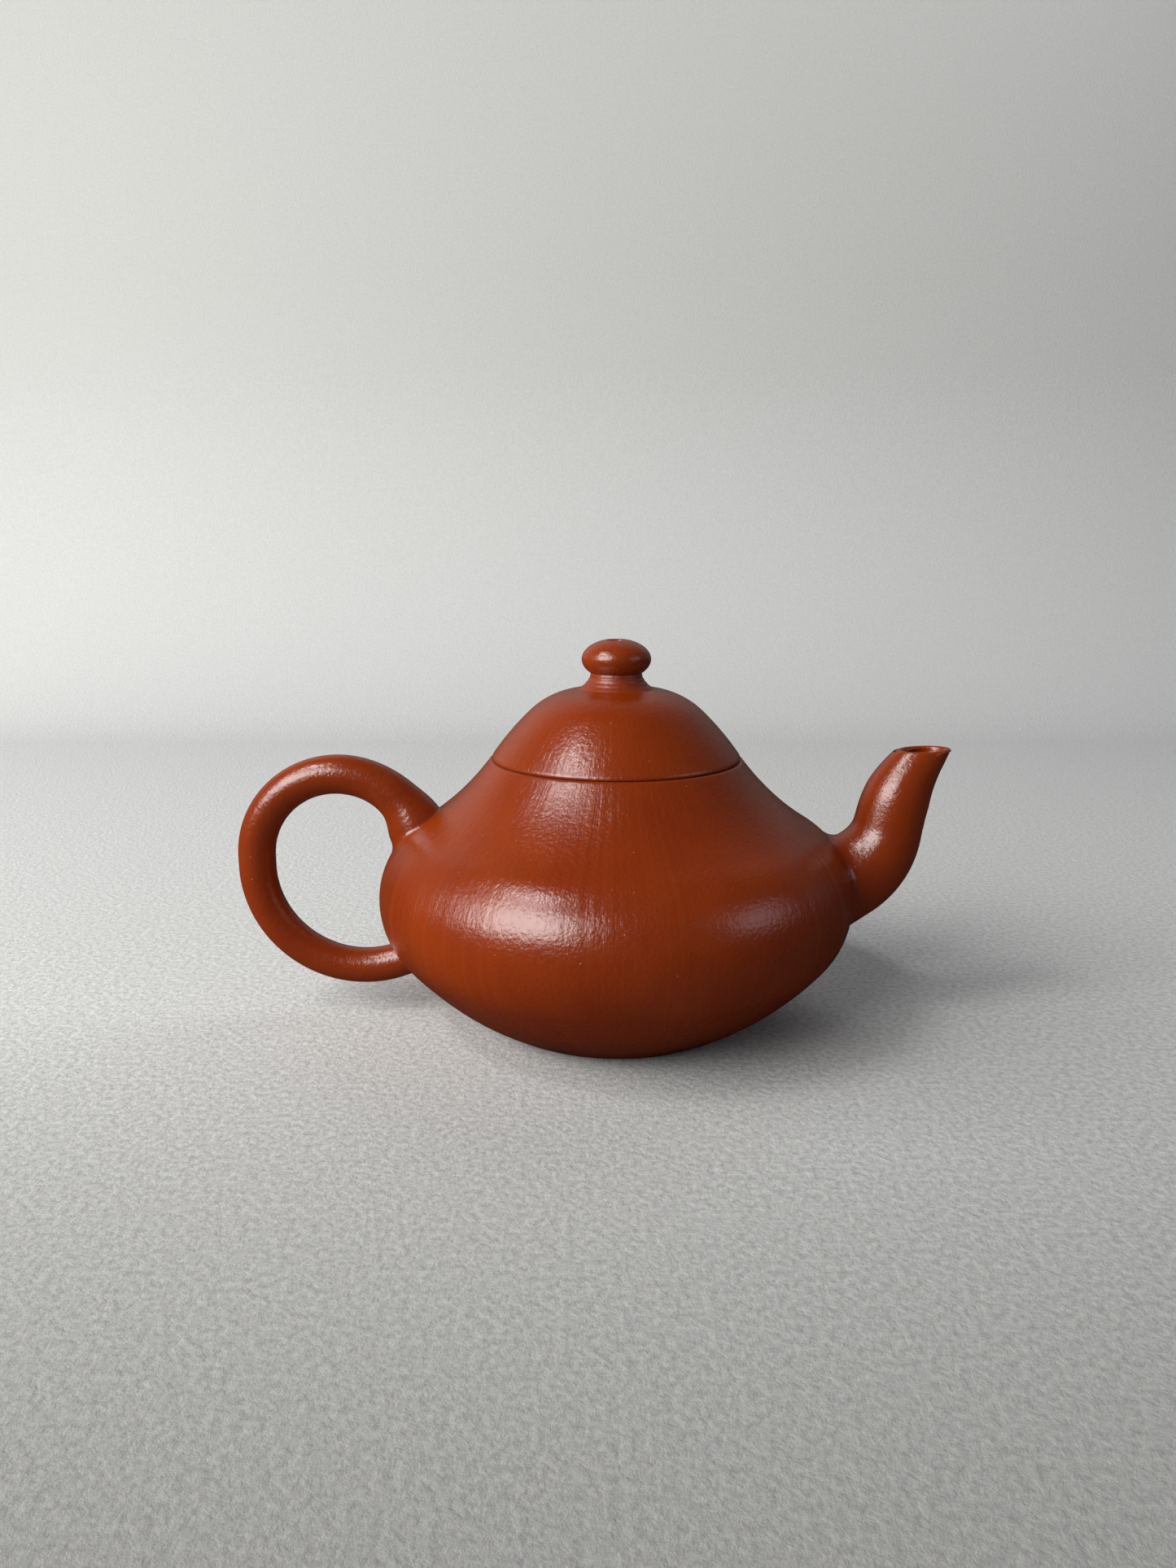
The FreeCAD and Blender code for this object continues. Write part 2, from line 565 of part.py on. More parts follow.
# Hollow under the lid, parallel to its outside and as wide as the flange that is luted into it
inner_lid_arc = dim("lid_arc") - dim("lid_wall")
inner_crown_arc = dim("crown_arc") - dim("lid_wall")
inner_edge = on_circle_at(lid_centre, inner_lid_arc, dim("mouth_height"), 1)
inner_lid_to_crown = towards(lid_centre, crown_centre, inner_lid_arc)
inner_crown_edge = point(dim("crown_flat"), crown_z - dim("lid_wall"))
lid_dome = new_body("LidDome")
profile = sketch_on(lid_dome, "XZ_Plane", "DomeOutline")
edge, crown = lid_arcs(profile, True)
inner_lid = add_arc(profile, lid_centre, inner_edge, inner_lid_to_crown)
inner_crown = add_arc(profile, crown_centre, inner_lid_to_crown, inner_crown_edge)
chain(profile, (inner_lid, CENTRE, edge, CENTRE), (inner_crown, CENTRE, crown, CENTRE))
tie(profile, "Tangent", inner_lid, END, inner_crown, START)
tie(profile, "Vertical", inner_crown, CENTRE, inner_crown, END)
size(profile, "Radius", (inner_crown,), inner_crown_arc, "Dims.crown_arc - Dims.lid_wall")
foot = close_to_axis(profile, inner_lid, inner_crown, inner_edge, inner_crown_edge)
size(profile, "DistanceY", ORIGIN + (foot, START), dim("mouth_height"), "Dims.mouth_height")
revolve(lid_dome, profile, "DomeSolid")

# Vent: one straight hole down through knob, neck and lid, wider at the top
KNOB_SEAT = "(%s + Dims.neck_height)" % CROWN_Z
KNOB_CENTRE = ("(%s + Dims.knob_half_height * sqrt(1 - (Dims.neck_waist_radius / Dims.knob_radius) ^ 2))"
               % KNOB_SEAT)
KNOB_TOP = "(%s + Dims.knob_half_height)" % KNOB_CENTRE
vent = cylinder("Vent", "Dims.vent_radius", "%s - Dims.mouth_height" % KNOB_TOP, "Dims.mouth_height")

# Lid shell and the flange ring that keeps it in the mouth
FLANGE_RADIUS = "(%s - Dims.flange_clearance)" % MOUTH_BORE
FLANGE_FOOT = "Dims.mouth_height - Dims.flange_depth"
FLANGE_HEIGHT = "Dims.flange_depth + Dims.lid_wall"
flange_socket = cylinder("FlangeSocket", FLANGE_RADIUS, "Dims.crown_rise", "Dims.mouth_height")
lid_hollow = common("LidHollow", lid_dome, flange_socket)
lid_shell = cut("LidShell", lid_form, fuse("LidCutter", [lid_hollow, vent]))
flange_blank = cylinder("FlangeBlank", FLANGE_RADIUS, FLANGE_HEIGHT, FLANGE_FOOT)
flange_bore = cylinder("FlangeBore", FLANGE_RADIUS + " - Dims.flange_wall", FLANGE_HEIGHT, FLANGE_FOOT)
flange_ring = cut("FlangeRing", flange_blank, flange_bore)
lid_flange = cut("LidFlange", flange_ring, lid_shell)

# Neck: flares from its waist to a foot that follows the crown
neck_top = point(dim("neck_waist_radius"), crown_z + dim("neck_height"))
neck_foot = point(dim("neck_foot_radius"), crown_z + dim("neck_foot_edge"))
neck_low = point(dim("neck_foot_radius"), crown_z - dim("neck_foot_edge"))
flare_out = dim("neck_foot_radius") - dim("neck_waist_radius")
flare_rise = dim("neck_height") - dim("neck_foot_edge")
flare_arc = (flare_out ** 2 + flare_rise ** 2) / (2 * flare_out)
flare_centre = point(dim("neck_waist_radius") + flare_arc, neck_top.y)
neck_turned = new_body("NeckTurned")
profile = sketch_on(neck_turned, "XZ_Plane", "NeckOutline")
flare = add_arc(profile, flare_centre, neck_top, neck_foot)
foot_side = add_line(profile, neck_foot, neck_low)
foot = add_line(profile, neck_low, point(0, neck_low.y))
axis = add_line(profile, point(0, neck_low.y), point(0, neck_top.y))
top = add_line(profile, point(0, neck_top.y), neck_top)
chain(profile, (flare, END, foot_side, START), (foot_side, END, foot, START), (foot, END, axis, START),
      (axis, END, top, START), (top, END, flare, START))
for level in (foot, top):
    tie(profile, "Horizontal", level)
for upright in (foot_side, axis):
    tie(profile, "Vertical", upright)
tie(profile, "PointOnObject", axis, START, V_AXIS)
tie(profile, "Horizontal", flare, START, flare, CENTRE)
place(profile, flare, START, neck_top, "Dims.neck_waist_radius", KNOB_SEAT)
place(profile, flare, END, neck_foot, "Dims.neck_foot_radius", CROWN_Z + " + Dims.neck_foot_edge")
size(profile, "DistanceY", ORIGIN + (foot, END), neck_low.y, CROWN_Z + " - Dims.neck_foot_edge")
revolve(neck_turned, profile, "NeckSolid")
knob_neck = cut("KnobNeck", neck_turned, fuse("NeckCutter", [lid_form, vent]))

# Knob: a flattened bead, flat where it stands on the neck
bead = doc.addObject("Part::Ellipsoid", "Bead")
bead.setExpression("Radius1", "Dims.knob_half_height")
bead.setExpression("Radius2", "Dims.knob_radius")
bead.setExpression("Radius3", "Dims.knob_radius")
bead.setExpression("Placement.Base.z", KNOB_CENTRE)
seat_cutter = cylinder("SeatCutter", "Dims.knob_radius", "Dims.knob_half_height",
                       KNOB_SEAT + " - Dims.knob_half_height")
vent_mouth = doc.addObject("Part::Cone", "VentMouth")
vent_mouth.setExpression("Radius1", "Dims.vent_radius")
vent_mouth.setExpression("Radius2", "Dims.vent_mouth_radius")
vent_mouth.setExpression("Height", "Dims.vent_mouth_depth")
vent_mouth.setExpression("Placement.Base.z", KNOB_TOP + " - Dims.vent_mouth_depth")
knob = cut("Knob", bead, fuse("KnobCutter", [seat_cutter, vent, vent_mouth]))

# Each sub-part's node name
NODES = {
    "body_wall": body_wall,
    "base_disc": base_disc,
    "mouth_ring": mouth_ring,
    "spout": spout,
    "strainer": strainer,
    "handle": handle,
    "lid_shell": lid_shell,
    "lid_flange": lid_flange,
    "knob_neck": knob_neck,
    "knob": knob,
}
for node, part in NODES.items():
    part.Label = node

doc.recompute()

# Nothing is written unless every object is sound and every sub-part is one solid
for item in doc.Objects:
    if "Invalid" in item.State or "Error" in item.State:
        raise RuntimeError("%s failed: %s" % (item.Label, item.State))
for node, part in NODES.items():
    if part.Shape.isNull() or not part.Shape.isValid() or len(part.Shape.Solids) != 1:
        raise RuntimeError("%s is not one sound solid" % node)

os.makedirs("parts", exist_ok=True)
for node, part in NODES.items():
    part.Shape.exportStep("parts/%s.step" % node)
    box = part.Shape.optimalBoundingBox()
    print("%-11s %9.2f mm3  x %.2f..%.2f  y %.2f..%.2f  z %.2f..%.2f" % (
        node, part.Shape.Volume, box.XMin, box.XMax, box.YMin, box.YMax, box.ZMin, box.ZMax))
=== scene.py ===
import math

import bpy
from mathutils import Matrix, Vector


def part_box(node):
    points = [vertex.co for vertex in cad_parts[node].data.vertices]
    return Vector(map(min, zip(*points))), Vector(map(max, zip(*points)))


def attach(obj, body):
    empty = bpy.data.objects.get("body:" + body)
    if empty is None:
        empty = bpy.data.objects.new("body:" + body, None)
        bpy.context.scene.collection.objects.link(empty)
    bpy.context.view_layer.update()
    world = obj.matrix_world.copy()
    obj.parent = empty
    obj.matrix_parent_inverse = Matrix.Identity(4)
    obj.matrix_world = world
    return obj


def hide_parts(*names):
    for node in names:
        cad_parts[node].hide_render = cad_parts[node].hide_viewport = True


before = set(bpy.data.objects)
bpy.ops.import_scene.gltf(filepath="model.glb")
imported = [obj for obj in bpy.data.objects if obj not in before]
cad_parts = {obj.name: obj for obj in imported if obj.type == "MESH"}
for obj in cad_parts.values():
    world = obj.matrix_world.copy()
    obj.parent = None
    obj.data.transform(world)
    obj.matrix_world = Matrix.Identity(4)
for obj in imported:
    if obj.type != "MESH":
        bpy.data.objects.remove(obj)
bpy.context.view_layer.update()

# Pot wall: a slab of red clay beaten into a pear shape over the base, then burnished with a horn tool.
# The strokes of the tool run up and down the wall. Its top edge is cut level for the lid, and a round
# hole behind the spout lets the tea out.
MM = 0.001
wall_low, wall_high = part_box("body_wall")
belly_radius = wall_high.y
joint_height = wall_low.z
mouth_height = wall_high.z
mouth_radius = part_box("lid_shell")[1].y
base_radius = 19.7 * MM
flank_arc = 50 * MM
belly_arc = 13.1 * MM
belly_height = 20.5 * MM
shoulder_arc = 44 * MM
wall_clay = 2.6 * MM
mouth_edge_round = 0.25 * MM
beaten_depth = 0.16 * MM
beaten_size = 11 * MM
beaten_fade = 12 * MM
tea_hole_radius = 5 * MM
hole_cutter_length = 20 * MM
spout_root_depth = 4.9 * MM
spout_root_rise = 0.1 * MM
spout_heading = math.radians(26.4)
round_steps = 224
merge_distance = MM / 500


def circles_meet(first, first_radius, second, second_radius, side):
    """Where two circles of an outline cross, on the left of the line between them or on the right."""
    across = second - first
    reach = (first_radius ** 2 - second_radius ** 2 + across.length_squared) / (2 * across.length)
    height = math.sqrt(first_radius ** 2 - reach ** 2)
    along = across.normalized()
    return first + along * reach + Vector((-along.y, along.x)) * height * side


def arc(centre, radius, start, end, steps):
    """Points of an outline on an arc from one angle to another."""
    angles = [start + (end - start) * step / steps for step in range(steps + 1)]
    return [centre + radius * Vector((math.cos(angle), math.sin(angle))) for angle in angles]


def bearing(start, end):
    return math.atan2(end.y - start.y, end.x - start.x)


def angle_at_height(centre, radius, height):
    """Angle at which a circle of the outline passes a height, on its right-hand side."""
    return math.asin((height - centre.y) / radius)


def softened(before, corner, after, size, steps=4):
    """A corner of an outline rounded off, for a stretch of each side that meets there."""
    start = corner + (before - corner).normalized() * size
    end = corner + (after - corner).normalized() * size
    shares = [step / steps for step in range(steps + 1)]
    return [start * (1 - t) ** 2 + corner * 2 * t * (1 - t) + end * t ** 2 for t in shares]


def turn(name, outline):
    """A piece drawn as a line from point to point in the middle plane, then spun about the pot's axis."""
    bpy.ops.object.select_all(action="DESELECT")
    bpy.ops.mesh.primitive_plane_add(size=MM, location=(0, 0, 0))
    piece = bpy.context.object
    piece.name = piece.data.name = name
    bpy.ops.object.mode_set(mode="EDIT")
    bpy.ops.mesh.select_mode(type="VERT")
    bpy.ops.mesh.merge(type="CENTER")
    bpy.ops.transform.translate(value=(outline[0].x, 0, outline[0].y))
    for start, end in zip(outline, outline[1:]):
        bpy.ops.mesh.extrude_region_move(
            TRANSFORM_OT_translate={"value": (end.x - start.x, 0, end.y - start.y)})
    bpy.ops.mesh.select_all(action="SELECT")
    bpy.ops.mesh.spin(steps=round_steps, angle=math.tau, center=(0, 0, 0), axis=(0, 0, 1))
    bpy.ops.mesh.select_all(action="SELECT")
    bpy.ops.mesh.remove_doubles(threshold=merge_distance)
    bpy.ops.mesh.normals_make_consistent(inside=False)
    bpy.ops.object.mode_set(mode="OBJECT")
    bpy.ops.object.shade_smooth_by_angle(angle=math.radians(40))
    return piece


belly_centre = Vector((belly_radius - belly_arc, belly_height))
base_edge = Vector((base_radius, 0))
mouth_edge = Vector((mouth_radius, mouth_height))
flank_centre = circles_meet(base_edge, flank_arc, belly_centre, flank_arc - belly_arc, 1)
shoulder_centre = circles_meet(belly_centre, shoulder_arc + belly_arc, mouth_edge, shoulder_arc, -1)
flank_end = bearing(flank_centre, belly_centre)
belly_end = bearing(belly_centre, shoulder_centre)


def shoulder_angle(depth, height):
    """Angle at which the hollow curve of the shoulder passes a height, at a depth under the surface."""
    return math.pi - angle_at_height(shoulder_centre, shoulder_arc + depth, height)


def wall_line(depth):
    """The wall's curve from its foot to its mouth, at a depth under its surface."""
    foot = angle_at_height(flank_centre, flank_arc - depth, joint_height)
    top = shoulder_angle(depth, mouth_height)
    return (arc(flank_centre, flank_arc - depth, foot, flank_end, steps=22)
            + arc(belly_centre, belly_arc - depth, flank_end, belly_end, steps=40)[1:]
            + arc(shoulder_centre, shoulder_arc + depth, belly_end + math.pi, top, steps=26)[1:])


outside = wall_line(0)
inside = wall_line(wall_clay)
rim = softened(outside[-2], outside[-1], inside[-1], mouth_edge_round)
pot_wall = turn("pot_wall", outside[:-1] + rim + inside[::-1] + outside[:1])

# The paddle leaves the wall very slightly uneven, least where the lid has to fit.
beaten = pot_wall.vertex_groups.new(name="beaten")
for vertex in pot_wall.data.vertices:
    below_mouth = (mouth_height - vertex.co.z) / beaten_fade
    beaten.add([vertex.index], max(0.0, min(1.0, below_mouth)), "REPLACE")
paddle_marks = bpy.data.textures.new("paddle_marks", "CLOUDS")
paddle_marks.noise_scale = beaten_size
paddle_marks.noise_depth = 1
uneven = pot_wall.modifiers.new("uneven", "DISPLACE")
uneven.texture = paddle_marks
uneven.texture_coords = "LOCAL"
uneven.vertex_group = "beaten"
uneven.mid_level = 0.35
uneven.strength = beaten_depth
bpy.ops.object.modifier_apply(modifier="uneven")

# The hole behind the spout is cut square to the spout's first run.
spout_root = Vector((belly_radius - spout_root_depth, 0, belly_height + spout_root_rise))
bpy.ops.object.select_all(action="DESELECT")
bpy.ops.mesh.primitive_cylinder_add(
    vertices=48, radius=tea_hole_radius, depth=hole_cutter_length, location=spout_root,
    rotation=(0, math.pi / 2 - spout_heading, 0))
hole_cutter = bpy.context.object
bpy.context.view_layer.objects.active = pot_wall
hole = pot_wall.modifiers.new("spout_hole", "BOOLEAN")
hole.operation = "DIFFERENCE"
hole.object = hole_cutter
bpy.ops.object.modifier_apply(modifier="spout_hole")
bpy.data.objects.remove(hole_cutter)


def add_node(tree, kind, inputs=None, **settings):
    """A shader node with its settings; an input is a value or the socket that feeds it."""
    made = tree.nodes.new(kind)
    for name, value in settings.items():
        setattr(made, name, value)
    for socket, value in (inputs or {}).items():
        if isinstance(value, bpy.types.NodeSocket):
            tree.links.new(value, made.inputs[socket])
        else:
            made.inputs[socket].default_value = value
    return made


def calc(tree, operation, *values):
    """One step of shader arithmetic."""
    return add_node(tree, "ShaderNodeMath", dict(enumerate(values)), operation=operation).outputs[0]


def remap(tree, value, low=0.0, high=1.0, to_low=0.0, to_high=1.0):
    """A value taken from one range to another, and kept inside it."""
    return add_node(tree, "ShaderNodeMapRange", {
        "Value": value, "From Min": low, "From Max": high, "To Min": to_low, "To Max": to_high,
    }).outputs["Result"]


def noise(tree, vector, scale, detail, roughness=0.5):
    """Soft random mottling of a given fineness."""
    return add_node(tree, "ShaderNodeTexNoise", {
        "Vector": vector, "Scale": scale, "Detail": detail, "Roughness": roughness}).outputs["Fac"]


def spots(tree, vector, cells, size, share):
    """A mask of small round spots, one in each of a share of the cells of a scattered pattern."""
    cell = add_node(tree, "ShaderNodeTexVoronoi", {"Vector": vector, "Scale": cells})
    picked = add_node(tree, "ShaderNodeSeparateColor", {"Color": cell.outputs["Color"]})
    chosen = calc(tree, "LESS_THAN", picked.outputs["Red"], share)
    width = remap(tree, picked.outputs["Green"], to_low=size * 0.35, to_high=size)
    near = calc(tree, "DIVIDE", cell.outputs["Distance"], width)
    return calc(tree, "MULTIPLY", remap(tree, near, 0.5, 1.0, 1.0, 0.0), chosen)


def new_group(name, vectors, values):
    """An empty shader node group that takes vectors and gives values, and its input and output nodes."""
    tree = bpy.data.node_groups.new(name, "ShaderNodeTree")
    for socket in vectors:
        tree.interface.new_socket(socket, in_out="INPUT", socket_type="NodeSocketVector")
    for socket in values:
        tree.interface.new_socket(socket, in_out="OUTPUT", socket_type="NodeSocketFloat")
    return tree, tree.nodes.new("NodeGroupInput"), tree.nodes.new("NodeGroupOutput")


# Fired clay: cloudy tone, a fine pear-skin grain, pits, dark iron specks and pale sand flecks
clay_body, clay_in, clay_out = new_group(
    "clay_body", ["Vector"], ["Cloud", "Grain", "Pits", "Dark specks", "Pale flecks"])
clay_point = clay_in.outputs["Vector"]
for socket, value in (
        ("Cloud", noise(clay_body, clay_point, 75.0, 4.0)),
        ("Grain", noise(clay_body, clay_point, 1700.0, 3.0, 0.55)),
        ("Pits", spots(clay_body, clay_point, cells=700.0, size=0.16, share=0.30)),
        ("Dark specks", spots(clay_body, clay_point, cells=330.0, size=0.075, share=0.28)),
        ("Pale flecks", spots(clay_body, clay_point, cells=410.0, size=0.065, share=0.18))):
    clay_body.links.new(value, clay_out.inputs[socket])

# Strokes of the burnishing tool: fine lines that run one way, stronger in some patches than in others, and
# strongest out towards the spout and the handle, the sides seen at a grazing angle, where their pale streaks
# are partly painted sheen
tool_strokes, strokes_in, strokes_out = new_group("tool_strokes", ["Across", "Place"], ["Strokes"])
stroke_place = strokes_in.outputs["Place"]
fine = noise(tool_strokes, strokes_in.outputs["Across"], 1.0, 4.0, 0.62)
broad = noise(tool_strokes, strokes_in.outputs["Across"], 0.2, 1.0)
centred = calc(tool_strokes, "SUBTRACT", calc(tool_strokes, "MULTIPLY_ADD", broad, 2.0, fine), 1.5)
patchy = remap(tool_strokes, noise(tool_strokes, stroke_place, 55.0, 2.0), 0.38, 0.68, 0.25, 1.0)
place_apart = add_node(tool_strokes, "ShaderNodeSeparateXYZ", {"Vector": stroke_place})
sideways = calc(tool_strokes, "ABSOLUTE", place_apart.outputs["X"])
# Stronger tool marks and paler streaks towards the sides: partly real tool marks, partly painted sheen
side_strokes_and_sheen = remap(tool_strokes, sideways, 19 * MM, 30 * MM, 0.5, 1.4)
worked = calc(tool_strokes, "MULTIPLY", patchy, side_strokes_and_sheen)
strokes = calc(tool_strokes, "MULTIPLY", centred, worked)
tool_strokes.links.new(strokes, strokes_out.inputs["Strokes"])


def split_level(tree, point):
    """A point's separate sizes, and the point without its height."""
    apart = add_node(tree, "ShaderNodeSeparateXYZ", {"Vector": point})
    level = add_node(tree, "ShaderNodeCombineXYZ", {"X": apart.outputs["X"], "Y": apart.outputs["Y"]})
    return apart, level.outputs["Vector"]


def scaled(tree, vector, scale):
    made = add_node(tree, "ShaderNodeVectorMath", {0: vector, "Scale": scale}, operation="SCALE")
    return made.outputs["Vector"]


def summed(tree, first, second):
    return add_node(tree, "ShaderNodeVectorMath", {0: first, 1: second}, operation="ADD").outputs["Vector"]


def up_and_down(tree, point):
    """Stroke coordinates that change fast round the pot's axis and slowly along its profile."""
    apart, level = split_level(tree, point)
    round_axis = add_node(tree, "ShaderNodeVectorMath", {0: level}, operation="NORMALIZE").outputs["Vector"]
    rise = add_node(tree, "ShaderNodeCombineXYZ", {"Z": calc(tree, "MULTIPLY", apart.outputs["Z"], 110.0)})
    return summed(tree, scaled(tree, round_axis, 150.0), rise.outputs["Vector"])


def round_and_round(tree, point):
    """Stroke coordinates for a piece that was wiped or turned: fast along its profile, slow round it."""
    apart, level = split_level(tree, point)
    out = add_node(tree, "ShaderNodeVectorMath", {0: level}, operation="LENGTH").outputs["Value"]
    profile = add_node(tree, "ShaderNodeCombineXYZ", {"X": out, "Z": apart.outputs["Z"]})
    return summed(tree, scaled(tree, profile.outputs["Vector"], 2400.0), scaled(tree, level, 60.0))


def tinted(tree, share, first, second):
    """A colour between two, as a mask says."""
    mixed = add_node(tree, "ShaderNodeMix", data_type="RGBA")
    for socket, value in (("Factor_Float", share), ("A_Color", first), ("B_Color", second)):
        target = next(s for s in mixed.inputs if s.identifier == socket)
        if isinstance(value, bpy.types.NodeSocket):
            tree.links.new(value, target)
        else:
            target.default_value = value
    return next(s for s in mixed.outputs if s.identifier == "Result_Color")


clay_deep = (0.212, 0.0225, 0.0004, 1)
clay_warm = (0.262, 0.0325, 0.0010, 1)
# Pale tint of the tool strokes: partly real tool marks, partly painted sheen
stroke_pale_and_sheen = (0.31, 0.046, 0.004, 1)
iron_dark = (0.060, 0.010, 0.002, 1)
sand_pale = (0.50, 0.15, 0.05, 1)
clay_relief = 0.075 * MM


def clay(name, stroke_path, stroke_depth, roughness):
    """Red clay: its colour and grain, its tool strokes along a path, and how far it was burnished."""
    material = bpy.data.materials.new(name)
    material.use_nodes = True
    tree = material.node_tree
    surface = tree.nodes["Principled BSDF"]
    point = add_node(tree, "ShaderNodeTexCoord").outputs["Object"]
    body = add_node(tree, "ShaderNodeGroup", node_tree=clay_body)
    tree.links.new(point, body.inputs["Vector"])
    tool = add_node(tree, "ShaderNodeGroup", node_tree=tool_strokes)
    tree.links.new(stroke_path(tree, point), tool.inputs["Across"])
    tree.links.new(point, tool.inputs["Place"])

    colour = tinted(tree, remap(tree, body.outputs["Cloud"], 0.3, 0.7), clay_deep, clay_warm)
    # Pale streaks along the tool strokes: partly real tool marks, partly painted sheen, strongest at the
    # sides
    streak_and_sheen = remap(tree, tool.outputs["Strokes"], 0.0, 0.6, 0.0, 0.45)
    colour = tinted(tree, streak_and_sheen, colour, stroke_pale_and_sheen)
    colour = tinted(tree, body.outputs["Dark specks"], colour, iron_dark)
    colour = tinted(tree, body.outputs["Pale flecks"], colour, sand_pale)
    tree.links.new(colour, surface.inputs["Base Color"])

    rough = remap(tree, body.outputs["Grain"], 0.3, 0.7, roughness - 0.04, roughness + 0.05)
    rough = calc(tree, "MULTIPLY_ADD", body.outputs["Pits"], 0.12, rough)
    tree.links.new(rough, surface.inputs["Roughness"])
    surface.inputs["Specular IOR Level"].default_value = 1.0

    height = calc(tree, "MULTIPLY_ADD", tool.outputs["Strokes"], stroke_depth, body.outputs["Grain"])
    height = calc(tree, "MULTIPLY_ADD", body.outputs["Pits"], -0.55, height)
    height = calc(tree, "MULTIPLY_ADD", body.outputs["Dark specks"], -0.8, height)
    relief = add_node(tree, "ShaderNodeBump", {"Height": height, "Strength": 1.0, "Distance": clay_relief})
    tree.links.new(relief.outputs["Normal"], surface.inputs["Normal"])
    return material


burnished_wall = clay("burnished_clay_wall", up_and_down, stroke_depth=0.85, roughness=0.22)
bare_clay = clay("bare_clay", round_and_round, stroke_depth=0.9, roughness=0.55)


def burnish_outside(piece):
    """Burnished clay on the outside of a turned piece; its inside is only wiped."""
    piece.data.materials.append(burnished_wall)
    piece.data.materials.append(bare_clay)
    for face in piece.data.polygons:
        face.material_index = int(face.normal.xy.dot(face.center.xy) < 0)


burnish_outside(pot_wall)
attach(pot_wall, "pot")
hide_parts("body_wall")

# Base disc: the round of clay that the wall is built up on. Its underside is pressed into a shallow dish,
# so the pot stands on a flat ring. Its edge carries on the line of the wall and is burnished with it.
dish_radius = 15.5 * MM
dish_depth = 0.8 * MM
foot_edge_round = 0.5 * MM
dish_curve = (dish_radius ** 2 + dish_depth ** 2) / (2 * dish_depth)
dish_centre = Vector((0, dish_depth - dish_curve))
foot_start = bearing(flank_centre, base_edge)
foot_end = angle_at_height(flank_centre, flank_arc, joint_height)
edge_line = arc(flank_centre, flank_arc, foot_end, foot_start, steps=6)
dish_line = arc(dish_centre, dish_curve, angle_at_height(dish_centre, dish_curve, 0), math.pi / 2, steps=12)
pot_base = turn("pot_base", [Vector((0, joint_height))] + edge_line[:-1]
                + softened(edge_line[-2], base_edge, dish_line[0], foot_edge_round) + dish_line)
pot_base.data.materials.append(burnished_wall)
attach(pot_base, "pot")
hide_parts("base_disc")

# Mouth ring: a strip of clay luted inside the top of the wall. With the wall's level top it makes the
# ledge that the lid rests on, and its bore guides the lid's flange. It is wiped smooth, not burnished.
ring_low, ring_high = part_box("mouth_ring")
mouth_bore = 16 * MM
ring_edge_round = 0.4 * MM
ring_back = arc(shoulder_centre, shoulder_arc + wall_clay, shoulder_angle(wall_clay, ring_low.z),
                shoulder_angle(wall_clay, ring_high.z), steps=6)
bore_top = Vector((mouth_bore, ring_high.z))
bore_foot = Vector((mouth_bore, ring_low.z))
mouth_ledge = turn("mouth_ledge", ring_back + softened(ring_back[-1], bore_top, bore_foot, ring_edge_round)
                   + softened(bore_top, bore_foot, ring_back[0], ring_edge_round) + ring_back[:1])
mouth_ledge.data.materials.append(bare_clay)
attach(mouth_ledge, "pot")
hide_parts("mouth_ring")

# Strainer: a small pierced dome of clay luted over the hole behind the spout. Only its CAD shape shows,
# in bare clay, when the lid is off.
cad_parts["strainer"].material_slots[0].material = bare_clay

# Spout: a tapered tube of rolled clay, bent up and then outwards, with its mouth cut level to a thin lip.
# It is luted over the hole and its top is worked smoothly into the wall, while its underside stays crisp.
# A leg of its middle line is a length and no bend, or the radius of an arc and its bend in degrees.
spout_legs = [(5.15 * MM, 0), (11.6 * MM, 52.1), (2.1 * MM, 0), (21.8 * MM, -28.2), (5 * MM, 0)]
spout_radii = [7.7 * MM, 7.0 * MM, 6.25 * MM, 5.5 * MM, 5.42 * MM, 5.2 * MM, 4.5 * MM, 3.65 * MM, 2.2 * MM]
spout_clay = [1.8 * MM] * 6 + [1.3 * MM, 0.8 * MM, 0.8 * MM]
spout_blend_top = 1.6 * MM
spout_blend_below = 0.7 * MM
lip_height = 43.85 * MM
lip_tilt = math.radians(2.5)
lip_roundness = 0.45
lip_shares = (0, 0.12, 0.35, 0.65, 0.88, 1)
root_sunk = 0.06 * MM
bore_sunk = 0.1 * MM
root_steps = 9
skin_steps = 56
bore_steps = 30
halvings = 36
tube_sides = 96


def leg_length(leg):
    size, bend = leg
    return size * abs(math.radians(bend)) if bend else size


def follow(start, heading, legs, distance):
    """Place and heading at a distance along a line of straight runs and arcs in the middle plane."""
    place = Vector(start)
    for leg in legs:
        size, bend = leg
        part = min(distance, leg_length(leg)) if leg is not legs[-1] else distance
        if bend:
            side = math.copysign(1, bend)
            turned = heading + side * part / size
            place += side * size * Vector((math.sin(turned) - math.sin(heading), 0,
                                           math.cos(heading) - math.cos(turned)))
            heading = turned
        else:
            place += part * Vector((math.cos(heading), 0, math.sin(heading)))
        distance -= part
        if distance <= 0:
            break
    return place, heading


def easing(marks, values, distance):
    """A size that runs smoothly through its values at the marks along a line."""
    last = len(marks) - 2
    index = next((i for i in range(last) if distance < marks[i + 1]), last)

    def slope(i):
        low, high = max(0, i - 1), min(len(marks) - 1, i + 1)
        return (values[high] - values[low]) / (marks[high] - marks[low])

    span = marks[index + 1] - marks[index]
    t = (distance - marks[index]) / span
    return (values[index] * (1 + 2 * t) * (1 - t) ** 2 + slope(index) * span * t * (1 - t) ** 2
            + values[index + 1] * t * t * (3 - 2 * t) + slope(index + 1) * span * t * t * (t - 1))


def round_way(heading, swing):
    """The way out from a line in the middle plane, at an angle round it from its left-hand side: the top of
    the spout, and the inside of the handle's ring."""
    left = Vector((-math.sin(heading), 0, math.cos(heading)))
    return math.cos(swing) * left + math.sin(swing) * Vector((0, 1, 0))


